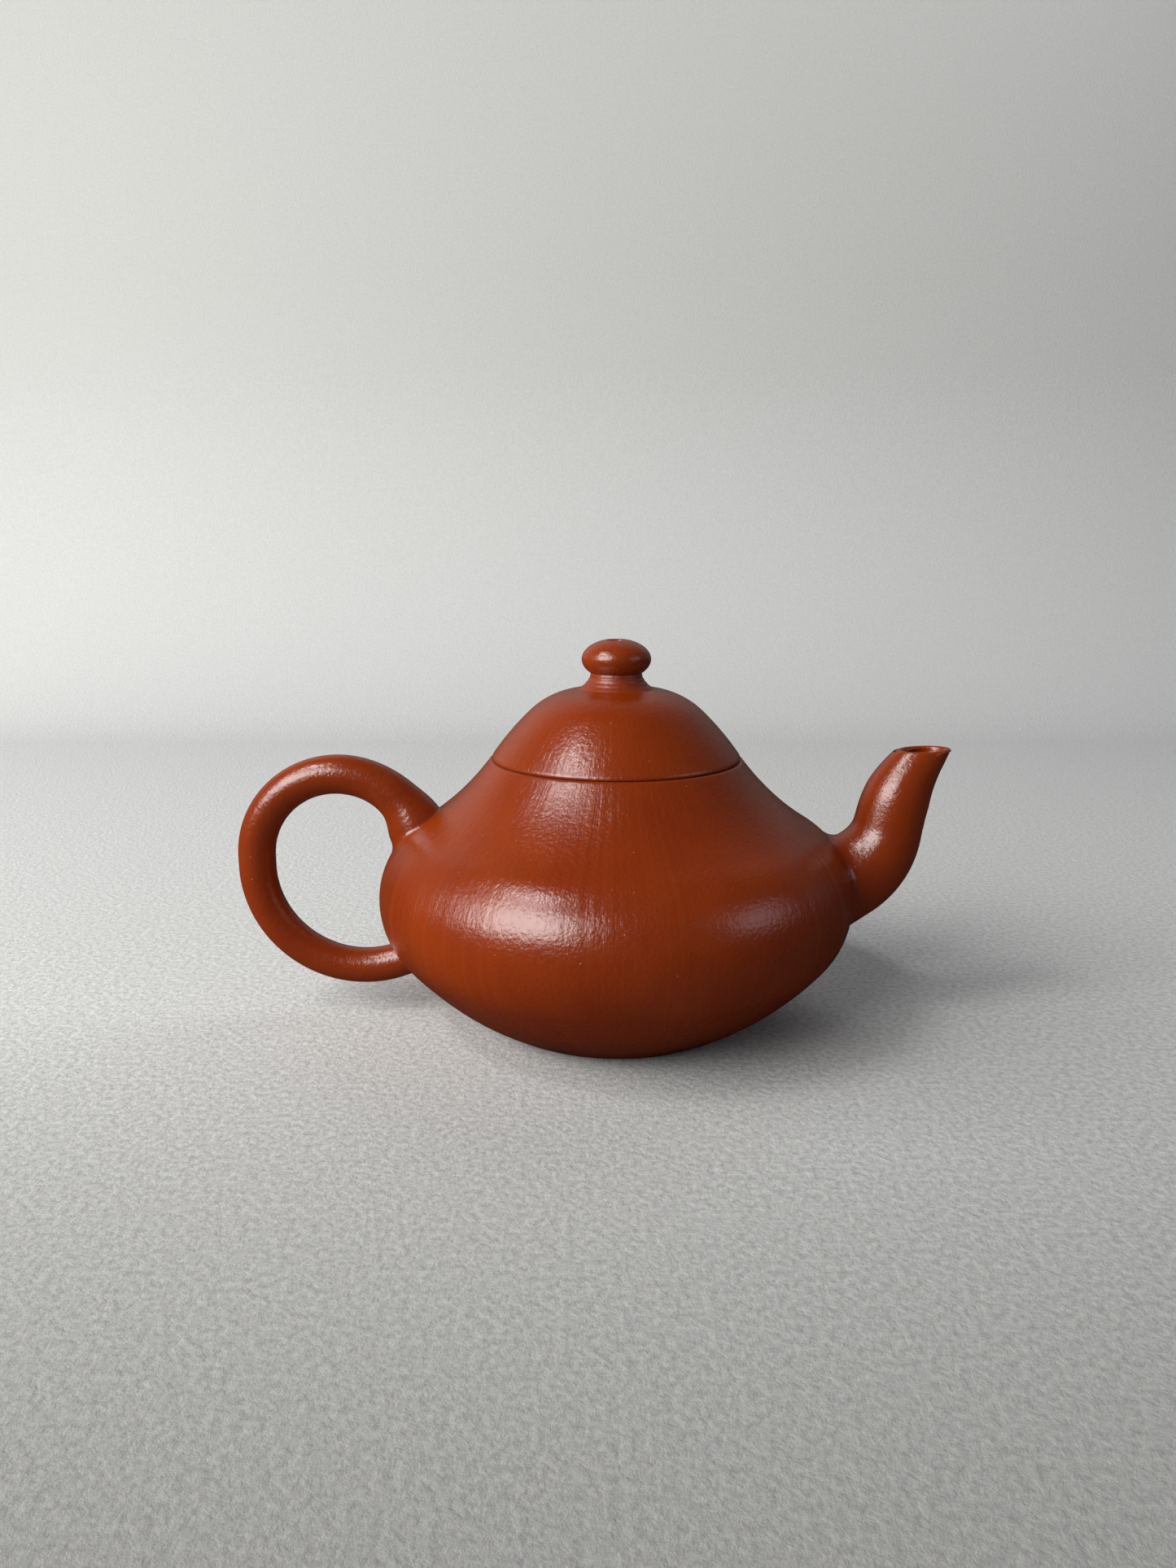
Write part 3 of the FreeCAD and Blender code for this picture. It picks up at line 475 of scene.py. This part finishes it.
def off_wall(point):
    """Height of a point over the wall's outside, and the way out of the wall there."""
    flat = Vector((math.hypot(point.x, point.y), point.z))
    round_belly = bearing(belly_centre, flat)
    if round_belly > belly_end:
        way = (shoulder_centre - flat).normalized()
        height = shoulder_arc - (shoulder_centre - flat).length
    elif round_belly < flank_end:
        way = (flat - flank_centre).normalized()
        height = (flat - flank_centre).length - flank_arc
    else:
        way = (flat - belly_centre).normalized()
        height = (flat - belly_centre).length - belly_arc
    return height, Vector((way.x * point.x / flat.x, way.x * point.y / flat.x, way.y))


def over_wall(point):
    return off_wall(point)[0]


def cross(line, low, high, measure, level=0):
    """Distance along a line at which a measure of its points passes a level."""
    for _ in range(halvings):
        middle = (low + high) / 2
        low, high = (middle, high) if measure(line(middle)) < level else (low, middle)
    return (low + high) / 2


def luted_root(line, outwards, outer, blend):
    """Points that lead from the wall up onto a piece luted to it, through a hollow of a given size, and
    the distance along the piece where that hollow ends."""
    points = []
    for step in range(root_steps):
        swing = math.pi / 2 * (1 - step / root_steps)
        height = blend * (1 - math.sin(swing))
        point = line(cross(line, 0, outer, over_wall, height))
        way_out = off_wall(point)[1]
        along = (outwards - way_out * outwards.dot(way_out)).normalized()
        point = point + along * blend * (1 - math.cos(swing))
        sunk = root_sunk if step == 0 else 0
        height_now, way_out = off_wall(point)
        points.append(point + way_out * (height - sunk - height_now))
    return points, cross(line, 0, outer, over_wall, blend)


def eased_blend(first, second, swing):
    """Size of the hollow round a root, from one on its left-hand side to another on its right."""
    return second + (first - second) * (1 + math.cos(swing)) / 2


def draw_rings(name, draw_line):
    """A round piece extruded ring by ring, each ring set on the lines that run along the piece."""
    lines = [draw_line(math.tau * side / tube_sides) for side in range(tube_sides)]
    rings = list(zip(*lines))
    bpy.ops.object.select_all(action="DESELECT")
    bpy.ops.mesh.primitive_circle_add(vertices=tube_sides, radius=MM, location=(0, 0, 0))
    piece = bpy.context.object
    piece.name = piece.data.name = name
    bpy.ops.object.mode_set(mode="EDIT")
    for _ in rings[1:]:
        bpy.ops.mesh.extrude_region_move()
    bpy.ops.object.mode_set(mode="OBJECT")
    piece.data.vertices.foreach_set("co", [size for ring in rings for point in ring for size in point])
    bpy.ops.object.mode_set(mode="EDIT")
    bpy.ops.mesh.select_all(action="SELECT")
    bpy.ops.mesh.remove_doubles(threshold=merge_distance)
    bpy.ops.mesh.normals_make_consistent(inside=False)
    bpy.ops.object.mode_set(mode="OBJECT")
    bpy.ops.object.shade_smooth_by_angle(angle=math.radians(50))
    return piece


run, bend, upright, outward, tip = (leg_length(leg) for leg in spout_legs)
spout_stretches = [run, bend / 2, bend / 2, upright, outward / 3, outward / 3, outward / 3, tip]
spout_marks = [sum(spout_stretches[:count]) for count in range(len(spout_stretches) + 1)]
bend_end, throat, lip_start, spout_end = spout_marks[3], spout_marks[4], spout_marks[-2], spout_marks[-1]
lip_middle = follow(spout_root, spout_heading, spout_legs, lip_start)[0]


def over_lip(point):
    return point.z - lip_height - (point.x - lip_middle.x) * math.tan(lip_tilt)


def spout_line(swing):
    """One line along the spout: up its outside from the wall, over the lip and down its bore."""

    def tube_point(distance, clay_under):
        place, heading = follow(spout_root, spout_heading, spout_legs, distance)
        radius = easing(spout_marks, spout_radii, distance) - clay_under
        return place + radius * round_way(heading, swing)

    def skin(distance):
        return tube_point(distance, 0)

    def bore(distance):
        return tube_point(distance, easing(spout_marks, spout_clay, distance))

    blend = eased_blend(spout_blend_top, spout_blend_below, swing)
    line, clear = luted_root(skin, round_way(spout_heading, swing), bend_end, blend)
    skin_end = cross(skin, throat, spout_end, over_lip)
    bore_end = cross(bore, throat, spout_end, over_lip)
    bore_start = cross(bore, 0, bend_end, over_wall, -bore_sunk)
    line += [skin(clear + (skin_end - clear) * step / skin_steps) for step in range(skin_steps)]
    outer_lip, inner_lip = skin(skin_end), bore(bore_end)
    for share in lip_shares:
        drop = (outer_lip - inner_lip).length * lip_roundness * (1 - math.sqrt(1 - (2 * share - 1) ** 2))
        line.append(outer_lip.lerp(inner_lip, share) - Vector((0, 0, drop)))
    way_back = bore_start - bore_end
    line += [bore(bore_end + way_back * step / bore_steps) for step in range(1, bore_steps + 1)]
    return line + line[:1]


def lengthwise(tree, point):
    """Stroke coordinates for a rolled piece, whose strokes lie loosely along it."""
    stretched = add_node(tree, "ShaderNodeMapping", {
        "Vector": point, "Rotation": (0, math.radians(-25), 0), "Scale": (700, 1400, 160)})
    return stretched.outputs["Vector"]


spout = draw_rings("spout_tube", spout_line)
burnished_rolled = clay("burnished_clay_rolled", lengthwise, stroke_depth=0.35, roughness=0.22)
spout.data.materials.append(burnished_rolled)
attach(spout, "pot")
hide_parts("spout")

# Handle: a solid roll of clay, thick where it leaves the shoulder and thinner round the grip, bent into a
# ring and luted to the shoulder and the lower wall. The corner inside the ring is filled and smoothed.
handle_standoff = 20.2 * MM
upper_arc = 13.475 * MM
lower_arc = 17 * MM
grip_run = 1.65 * MM
upper_height = 26.3 * MM
tenon_degrees = -4
root_degrees = (tenon_degrees, 20, 45, 90, 180)
tail_degrees = (100, 145)
handle_radii = [3.6 * MM, 4.7 * MM, 3.5 * MM, 3.15 * MM, 2.95 * MM, 2.85 * MM, 2.85 * MM]
handle_blend_inside = 1.15 * MM
handle_blend_outside = 0.35 * MM
tail_blend = 1.2 * MM
grip_steps = 120
tenon_angle = math.radians(tenon_degrees)
handle_start = Vector((upper_arc * (1 + math.cos(tenon_angle)) - belly_radius - handle_standoff, 0,
                       upper_height + upper_arc * math.sin(tenon_angle)))
handle_heading = tenon_angle + math.pi / 2
handle_legs = [(upper_arc, root_degrees[-1] - tenon_degrees), (grip_run, 0), (lower_arc, tail_degrees[-1])]
handle_marks = [upper_arc * math.radians(angle - tenon_degrees) for angle in root_degrees]
grip_end = handle_marks[-1] + grip_run
handle_marks += [grip_end + lower_arc * math.radians(angle) for angle in tail_degrees]
neck_mark, top_mark, grip_mark, tail_mark, handle_end = handle_marks[2:]
root_heading = follow(handle_start, handle_heading, handle_legs, neck_mark)[1]
tail_heading = follow(handle_start, handle_heading, handle_legs, tail_mark)[1]
handle_tip = follow(handle_start, handle_heading, handle_legs, handle_end)[0]


def handle_line(swing):
    """One line along the handle, from the wall at its root round to the wall at its tail."""

    def forwards(distance):
        place, heading = follow(handle_start, handle_heading, handle_legs, distance)
        return place + easing(handle_marks, handle_radii, distance) * round_way(heading, swing)

    def backwards(distance):
        return forwards(handle_end - distance)

    blend = eased_blend(handle_blend_inside, handle_blend_outside, swing)
    root, root_clear = luted_root(forwards, round_way(root_heading, swing), top_mark, blend)
    tail, tail_clear = luted_root(
        backwards, round_way(tail_heading, swing), handle_end - grip_mark, tail_blend)
    span = handle_end - tail_clear - root_clear
    middle = [forwards(root_clear + span * step / grip_steps) for step in range(grip_steps + 1)]
    return [handle_start] + root + middle + tail[::-1] + [handle_tip]


handle = draw_rings("handle_ring", handle_line)
handle.data.materials.append(burnished_rolled)
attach(handle, "pot")
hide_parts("handle")

# Lid: a domed round of clay whose edge carries on the line of the shoulder. It is burnished like the wall,
# its edge is softly rounded, and a vent runs down through its middle.
lid_low, lid_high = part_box("lid_shell")
lid_arc = 45.9 * MM
crown_arc = 12.9 * MM
crown_flat = 4.8 * MM
lid_clay = 2.6 * MM
lid_edge_round = 1 * MM
vent_radius = 1 * MM
crown_centre = Vector((crown_flat, lid_high.z - crown_arc))
lid_centre = circles_meet(crown_centre, lid_arc - crown_arc, mouth_edge, lid_arc, -1)
crown_start = bearing(lid_centre, crown_centre)


def lid_line(depth):
    """The lid's curve from its edge up to its level crown, at a depth under its surface."""
    edge = angle_at_height(lid_centre, lid_arc - depth, lid_low.z)
    return (arc(lid_centre, lid_arc - depth, edge, crown_start, steps=30)
            + arc(crown_centre, crown_arc - depth, crown_start, math.pi / 2, steps=20)[1:])


# The rounding of the edge takes the place of the first three points of the lid's line.
lid_top, lid_under = lid_line(0), lid_line(lid_clay)
lid_edge = softened(lid_under[0], lid_top[0], lid_top[2], lid_edge_round, steps=8)
lid_dome = turn("lid_dome", lid_under[::-1] + lid_edge + lid_top[3:]
                + [Vector((vent_radius, lid_high.z)), Vector((vent_radius, lid_high.z - lid_clay))]
                + lid_under[-1:])
burnish_outside(lid_dome)
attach(lid_dome, "lid")
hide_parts("lid_shell")

# Lid flange: a short ring of clay luted under the lid. It drops into the mouth with a little play and keeps
# the lid from sliding off while tea is poured.
flange_low, flange_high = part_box("lid_flange")
flange_clay = 2.2 * MM
flange_edge_round = 0.7 * MM
flange_in_lid = 2 * MM
flange_radius = flange_high.y
flange_bore = flange_radius - flange_clay
flange_top = flange_high.z - flange_in_lid
inner_top, inner_foot = Vector((flange_bore, flange_top)), Vector((flange_bore, flange_low.z))
outer_foot, outer_top = Vector((flange_radius, flange_low.z)), Vector((flange_radius, flange_top))
lid_collar = turn("lid_collar", [inner_top] + softened(inner_top, inner_foot, outer_foot, flange_edge_round)
                  + softened(inner_foot, outer_foot, outer_top, flange_edge_round) + [outer_top, inner_top])
lid_collar.data.materials.append(bare_clay)
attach(lid_collar, "lid")
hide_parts("lid_flange")

# Knob neck: a flared collar turned on the wheel, which leaves three soft ridges and a raised line round
# its foot. It is luted to the crown of the lid and not burnished.
neck_low, neck_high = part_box("knob_neck")
neck_foot = neck_high.y
neck_seat = neck_high.z
neck_waist = 4 * MM
neck_flare = 1.9
neck_ridge = 0.07 * MM
neck_ridges = 4
neck_foot_line = 0.25 * MM
neck_steps = 48
neck_drop = neck_seat - lid_high.z


def neck_point(share):
    """The neck's outline from its waist down to its foot, with the ridges that turning leaves."""
    ridge = neck_ridge * (1 - math.cos(share * neck_ridges * math.tau)) / 2
    return Vector((neck_waist + (neck_foot - neck_waist) * share ** neck_flare + ridge,
                   neck_seat - neck_drop * share))


neck_side = [neck_point(step / neck_steps) for step in range(neck_steps + 1)]
neck_bottom = Vector((vent_radius, neck_low.z))
knob_stem = turn("knob_stem", [neck_bottom, Vector((vent_radius, neck_seat))] + neck_side
                 + [Vector((neck_foot + neck_foot_line, lid_high.z - root_sunk)), neck_bottom])
turned_clay = clay("turned_clay", round_and_round, stroke_depth=0.7, roughness=0.38)
knob_stem.data.materials.append(turned_clay)
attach(knob_stem, "lid")
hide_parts("knob_neck")

# Knob: a flattened bead of clay on the neck, burnished, with the vent opening wide at its top.
# The vent lets air in, so that the tea pours freely.
knob_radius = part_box("knob")[1].y
bead_half = 3.2 * MM
vent_mouth = 1.45 * MM
vent_lip = 0.35 * MM
vent_rise = 0.05 * MM
vent_flare = 1.2 * MM
vent_edge_round = 0.25 * MM
bead_steps = 44
bead_middle = neck_seat + bead_half * math.sqrt(1 - (neck_waist / knob_radius) ** 2)


def bead_point(angle):
    return Vector((knob_radius * math.cos(angle), bead_middle + bead_half * math.sin(angle)))


seat_angle = -math.acos(neck_waist / knob_radius)
vent_angle = math.acos((vent_mouth + vent_lip) / knob_radius)
bead_side = [bead_point(seat_angle + (vent_angle - seat_angle) * step / bead_steps)
             for step in range(bead_steps + 1)]
vent_top = Vector((vent_mouth, bead_side[-1].y + vent_rise))
vent_throat = Vector((vent_radius, bead_side[-1].y - vent_flare))
vent_corner = bead_side[-1].lerp(vent_top, 0.5)
vent_foot = Vector((vent_radius, neck_seat))
knob_bead = turn("knob_bead", [vent_foot] + bead_side[:-1]
                 + softened(bead_side[-2], vent_corner, vent_throat, vent_edge_round)
                 + [vent_throat, vent_foot])
burnished_turned = clay("burnished_clay_turned", round_and_round, stroke_depth=1.0, roughness=0.24)
knob_bead.data.materials.append(burnished_turned)
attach(knob_bead, "lid")
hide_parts("knob")

# Stage: a sheet of pale grey felt that lies on the table and sweeps up behind the pot in a wide curve.
sheet_front = -0.6
sheet_back = 0.26
sheet_sweep = 0.16
sheet_half_width = 1.1
sheet_top = 1.2
sweep_steps = 24
bpy.ops.object.select_all(action="DESELECT")
bpy.ops.mesh.primitive_plane_add(size=2 * sheet_half_width, location=(0, 0, 0))
felt_sheet = bpy.context.object
felt_sheet.name = "felt_sheet"
bpy.ops.object.mode_set(mode="EDIT")
bpy.ops.mesh.select_mode(type="EDGE")
bpy.ops.mesh.select_all(action="DESELECT")
bpy.ops.object.mode_set(mode="OBJECT")
for vertex in felt_sheet.data.vertices:
    vertex.co.y = sheet_back if vertex.co.y > 0 else sheet_front
for edge in felt_sheet.data.edges:
    edge.select = all(felt_sheet.data.vertices[i].co.y > 0 for i in edge.vertices)
bpy.ops.object.mode_set(mode="EDIT")
for step in range(sweep_steps):
    before, after = math.pi / 2 * step / sweep_steps, math.pi / 2 * (step + 1) / sweep_steps
    bpy.ops.mesh.extrude_region_move(TRANSFORM_OT_translate={"value": (
        0, sheet_sweep * (math.sin(after) - math.sin(before)),
        sheet_sweep * (math.cos(before) - math.cos(after)))})
bpy.ops.mesh.extrude_region_move(TRANSFORM_OT_translate={"value": (0, 0, sheet_top - sheet_sweep)})
bpy.ops.mesh.select_all(action="SELECT")
bpy.ops.mesh.normals_make_consistent(inside=False)
bpy.ops.object.mode_set(mode="OBJECT")
bpy.ops.object.shade_smooth()

# Painted shade and light: the grey is painted darker at the front and towards the right and paler towards
# the back, as light falls there; its fluff shows best close by.
front_shaded_grey = (0.40, 0.40, 0.39, 1)
back_lit_grey = (0.86, 0.87, 0.86, 1)
sweep_grey = (0.75, 0.76, 0.735, 1)
right_shaded_grey = (0.30, 0.305, 0.30, 1)
fluff_grey = (0.20, 0.20, 0.20, 1)
felt = bpy.data.materials.new("grey_felt")
felt.use_nodes = True
felt_tree = felt.node_tree
felt_surface = felt_tree.nodes["Principled BSDF"]
felt_point = add_node(felt_tree, "ShaderNodeTexCoord").outputs["Object"]
felt_apart = add_node(felt_tree, "ShaderNodeSeparateXYZ", {"Vector": felt_point})
fluff = noise(felt_tree, felt_point, 1000.0, 5.0, 0.7)
# Painted shade at the front, painted light towards the back
shade_front_to_back = remap(felt_tree, felt_apart.outputs["Y"], -0.11, 0.0)
up_the_sweep = remap(felt_tree, felt_apart.outputs["Z"], 0.0, 0.2)
# Painted shade towards the right, away from the lights on the left
right_shade = remap(felt_tree, felt_apart.outputs["X"], -0.25, 0.45, 0.0, 0.3)
fluff_depth = remap(felt_tree, felt_apart.outputs["Y"], -0.05, 0.3, 0.5, 0.12)
felt_colour = tinted(felt_tree, shade_front_to_back, front_shaded_grey, back_lit_grey)
felt_colour = tinted(felt_tree, up_the_sweep, felt_colour, sweep_grey)
felt_colour = tinted(felt_tree, right_shade, felt_colour, right_shaded_grey)
fluffy = remap(felt_tree, fluff, 0.35, 0.65, 0.0, fluff_depth)
felt_colour = tinted(felt_tree, fluffy, felt_colour, fluff_grey)

# The camera sees the felt's full grey. Less light is thrown back onto the pot, and its reflections show
# the sweep behind it more than the floor.
felt_light = add_node(felt_tree, "ShaderNodeLightPath")
felt_bounce = remap(felt_tree, up_the_sweep, to_low=0.65, to_high=0.22)
felt_mirrored = remap(felt_tree, up_the_sweep, to_low=-0.6, to_high=0.3)
felt_seen = remap(felt_tree, felt_light.outputs["Is Camera Ray"], to_low=felt_bounce)
felt_value = calc(felt_tree, "MULTIPLY_ADD", felt_mirrored, felt_light.outputs["Is Glossy Ray"], felt_seen)
felt_shown = add_node(felt_tree, "ShaderNodeHueSaturation", {"Value": felt_value, "Color": felt_colour})
felt_tree.links.new(felt_shown.outputs["Color"], felt_surface.inputs["Base Color"])
felt_surface.inputs["Roughness"].default_value = 1.0
felt_surface.inputs["Specular IOR Level"].default_value = 0.0
felt_relief = add_node(felt_tree, "ShaderNodeBump", {"Height": fluff, "Strength": 0.8, "Distance": 0.3 * MM})
felt_tree.links.new(felt_relief.outputs["Normal"], felt_surface.inputs["Normal"])
felt_sheet.data.materials.append(felt)


# Light: a large soft window high on the left towards the camera, a small one over it, a pale wall on the
# left, a faint one low on the right, a weak fill from above and behind, and a dim room.
def soft_light(name, way, distance, size, power, colour):
    """A soft panel that looks at the pot from a direction."""
    lamp = bpy.data.lights.new(name, "AREA")
    lamp.shape = "RECTANGLE"
    lamp.size, lamp.size_y = size
    lamp.energy = power
    lamp.color = colour
    panel = bpy.data.objects.new(name, lamp)
    bpy.context.scene.collection.objects.link(panel)
    place = Vector(way).normalized() * distance
    panel.location = place + Vector((0, 0, 25 * MM))
    panel.rotation_euler = (-place).to_track_quat("-Z", "Y").to_euler()
    return panel


soft_light("window", way=(-0.645, -0.605, 0.475), distance=0.75, size=(0.58, 0.42), power=4.8,
           colour=(1.0, 0.985, 0.96))
soft_light("skylight", way=(-0.50, -0.28, 0.82), distance=0.75, size=(0.20, 0.09), power=0.95,
           colour=(1.0, 0.985, 0.97))
pale_wall = soft_light("pale_wall", way=(-0.94, -0.12, 0.32), distance=0.9, size=(0.6, 0.5), power=5.8,
                       colour=(1.0, 0.99, 0.97))
pale_wall.rotation_euler.z -= math.radians(35)
pale_wall.visible_glossy = False
soft_light("far_wall", way=(0.87, -0.32, 0.36), distance=1.0, size=(0.5, 0.35), power=0.45,
           colour=(0.90, 0.84, 1.0))
back_fill = soft_light("back_fill", way=(0.34, 0.50, 0.80), distance=0.58, size=(0.45, 0.35), power=0.55,
                       colour=(0.96, 0.98, 1.0))
back_fill.visible_glossy = False
room = bpy.data.worlds.new("room")
bpy.context.scene.world = room
room.use_nodes = True
room_tree = room.node_tree
room_sky = room_tree.nodes["Background"]
room_sky.inputs["Color"].default_value = (0.62, 0.64, 0.66, 1)
room_light = add_node(room_tree, "ShaderNodeLightPath")
room_seen = remap(room_tree, room_light.outputs["Is Camera Ray"], to_low=0.15, to_high=0.9)
room_strength = calc(room_tree, "MULTIPLY_ADD", room_light.outputs["Is Glossy Ray"], -0.1, room_seen)
room_tree.links.new(room_strength, room_sky.inputs["Strength"])

# Camera: a phone held close in front of the pot and a little above it.
camera_data = bpy.data.cameras.new("camera")
camera_data.sensor_width = 36
camera_data.lens = 27.05
camera_data.clip_start = 0.01
camera = bpy.data.objects.new("camera", camera_data)
bpy.context.scene.collection.objects.link(camera)
camera.location = (-4.445 * MM, -184.708 * MM, 76.802 * MM)
camera.rotation_euler = (math.radians(90 - 11.816), 0, 0)
bpy.context.scene.camera = camera
bpy.context.scene.view_settings.view_transform = "Standard"
